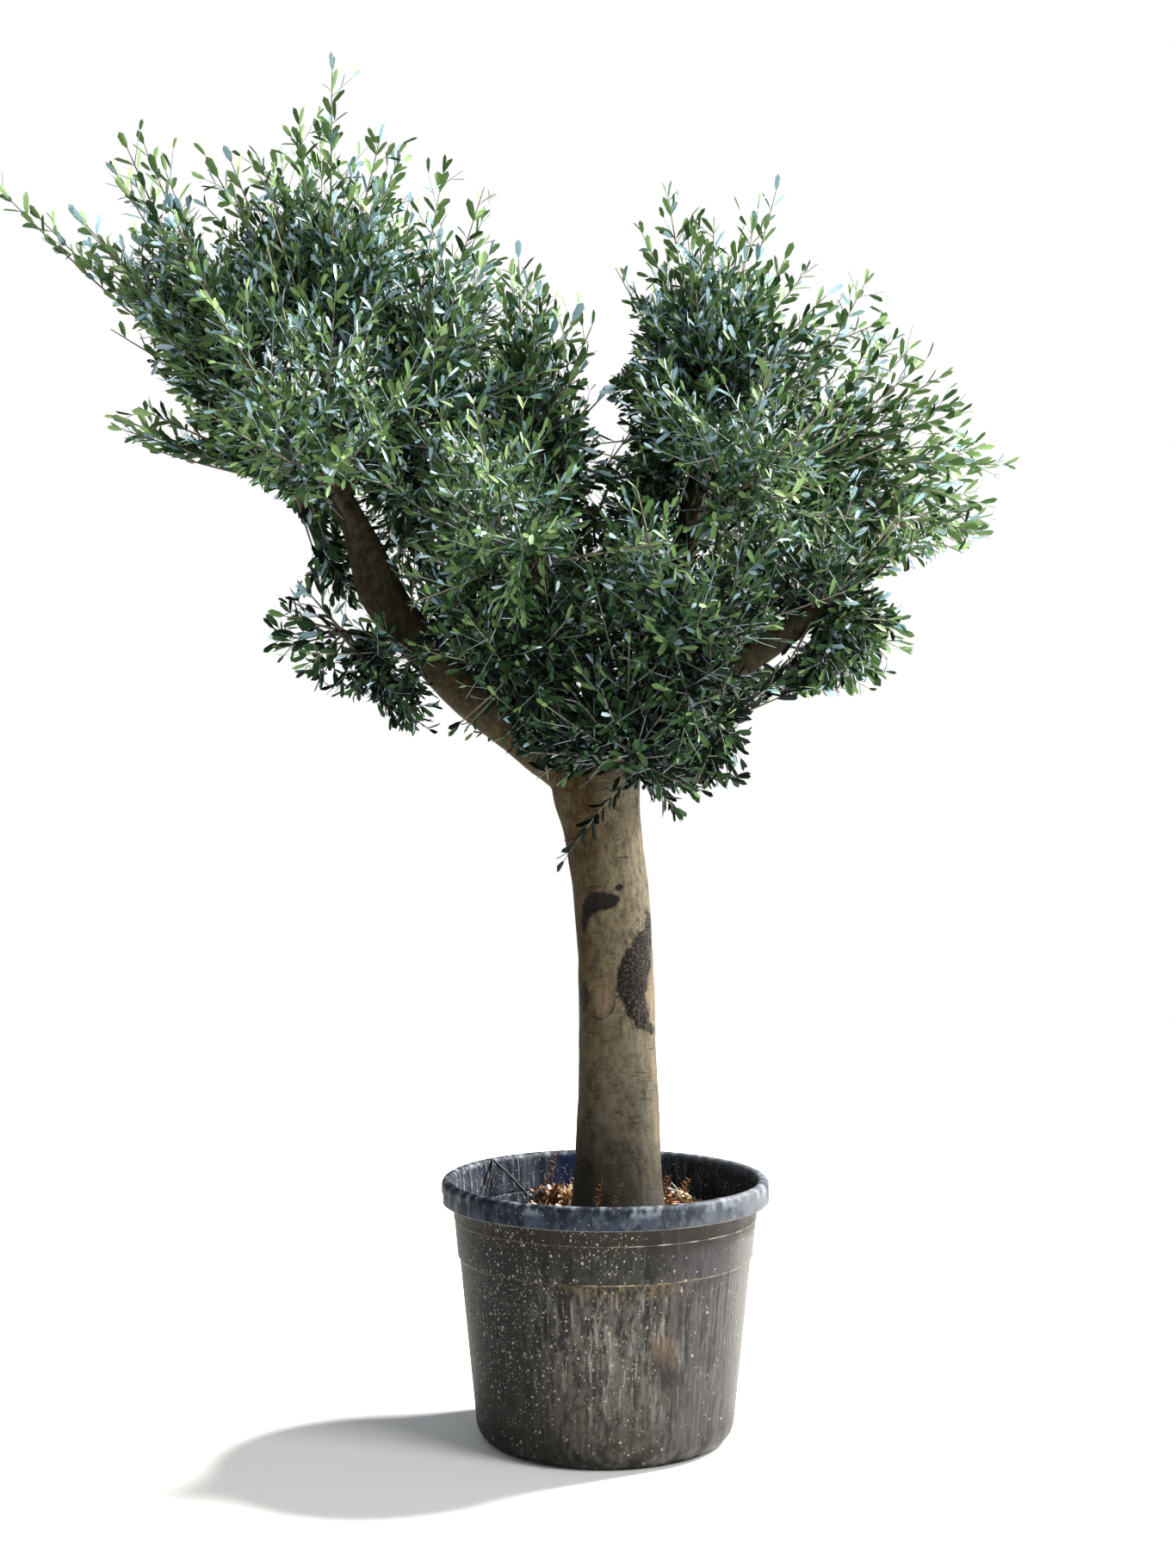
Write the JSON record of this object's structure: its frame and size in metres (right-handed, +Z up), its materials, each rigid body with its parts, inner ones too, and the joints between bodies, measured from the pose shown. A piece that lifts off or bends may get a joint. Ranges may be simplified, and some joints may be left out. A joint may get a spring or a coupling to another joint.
{
  "type": "potted olive tree",
  "caption": "Olive tree with a forked trunk and an open leafy crown, growing in a round tapered nursery pot of soil that stands on its flat underside.",
  "frame": {"origin": "centre of the pot's flat underside", "axes": "+Z up along the tree, -Z down out of the pot's underside, -Y towards the front, +X to the right seen from the front"},
  "size_m": [2.5532, 1.8026, 3.3636],
  "materials": {
    "pot_plastic": "weathered matt black moulded plastic with lime splashes",
    "soil": "dry bark and peat potting soil",
    "litter": "dry fallen leaves",
    "pipe_plastic": "faded matt plastic watering pipe",
    "bark": "smooth grey-brown olive bark, cracked at old wounds",
    "foliage": "leathery grey-green olive leaves, paler underneath"
  },
  "bodies": {
    "root": {"bough_centre": "bark", "bough_left": "bark", "bough_rear": "bark", "bough_rear_right": "bark", "bough_right": "bark", "centre_front": "foliage", "centre_low": "foliage", "centre_top": "foliage", "fork_shoots": "foliage", "left_back": "foliage", "left_front": "foliage", "left_inner": "foliage", "left_outer": "foliage", "left_side": "foliage", "left_skirt": "foliage", "left_top": "foliage", "litter_left": "litter", "litter_right": "litter", "middle_front": "foliage", "pot": "pot_plastic", "rear_low": "foliage", "rear_right_low": "foliage", "rear_top": "foliage", "right_back": "foliage", "right_front": "foliage", "right_outer": "foliage", "right_side": "foliage", "right_skirt": "foliage", "right_top": "foliage", "soil": "soil", "spur_centre_front": "bark", "spur_centre_low": "bark", "spur_fork_shoots": "bark", "spur_left_back": "bark", "spur_left_front": "bark", "spur_left_inner": "bark", "spur_left_outer": "bark", "spur_left_side": "bark", "spur_left_skirt": "bark", "spur_middle_front": "bark", "spur_rear_low": "bark", "spur_rear_right_low": "bark", "spur_right_back": "bark", "spur_right_front": "bark", "spur_right_outer": "bark", "spur_right_skirt": "bark", "trunk": "bark", "water_pipe": "pipe_plastic", "water_tube": "pipe_plastic"}
  },
  "joints": []
}
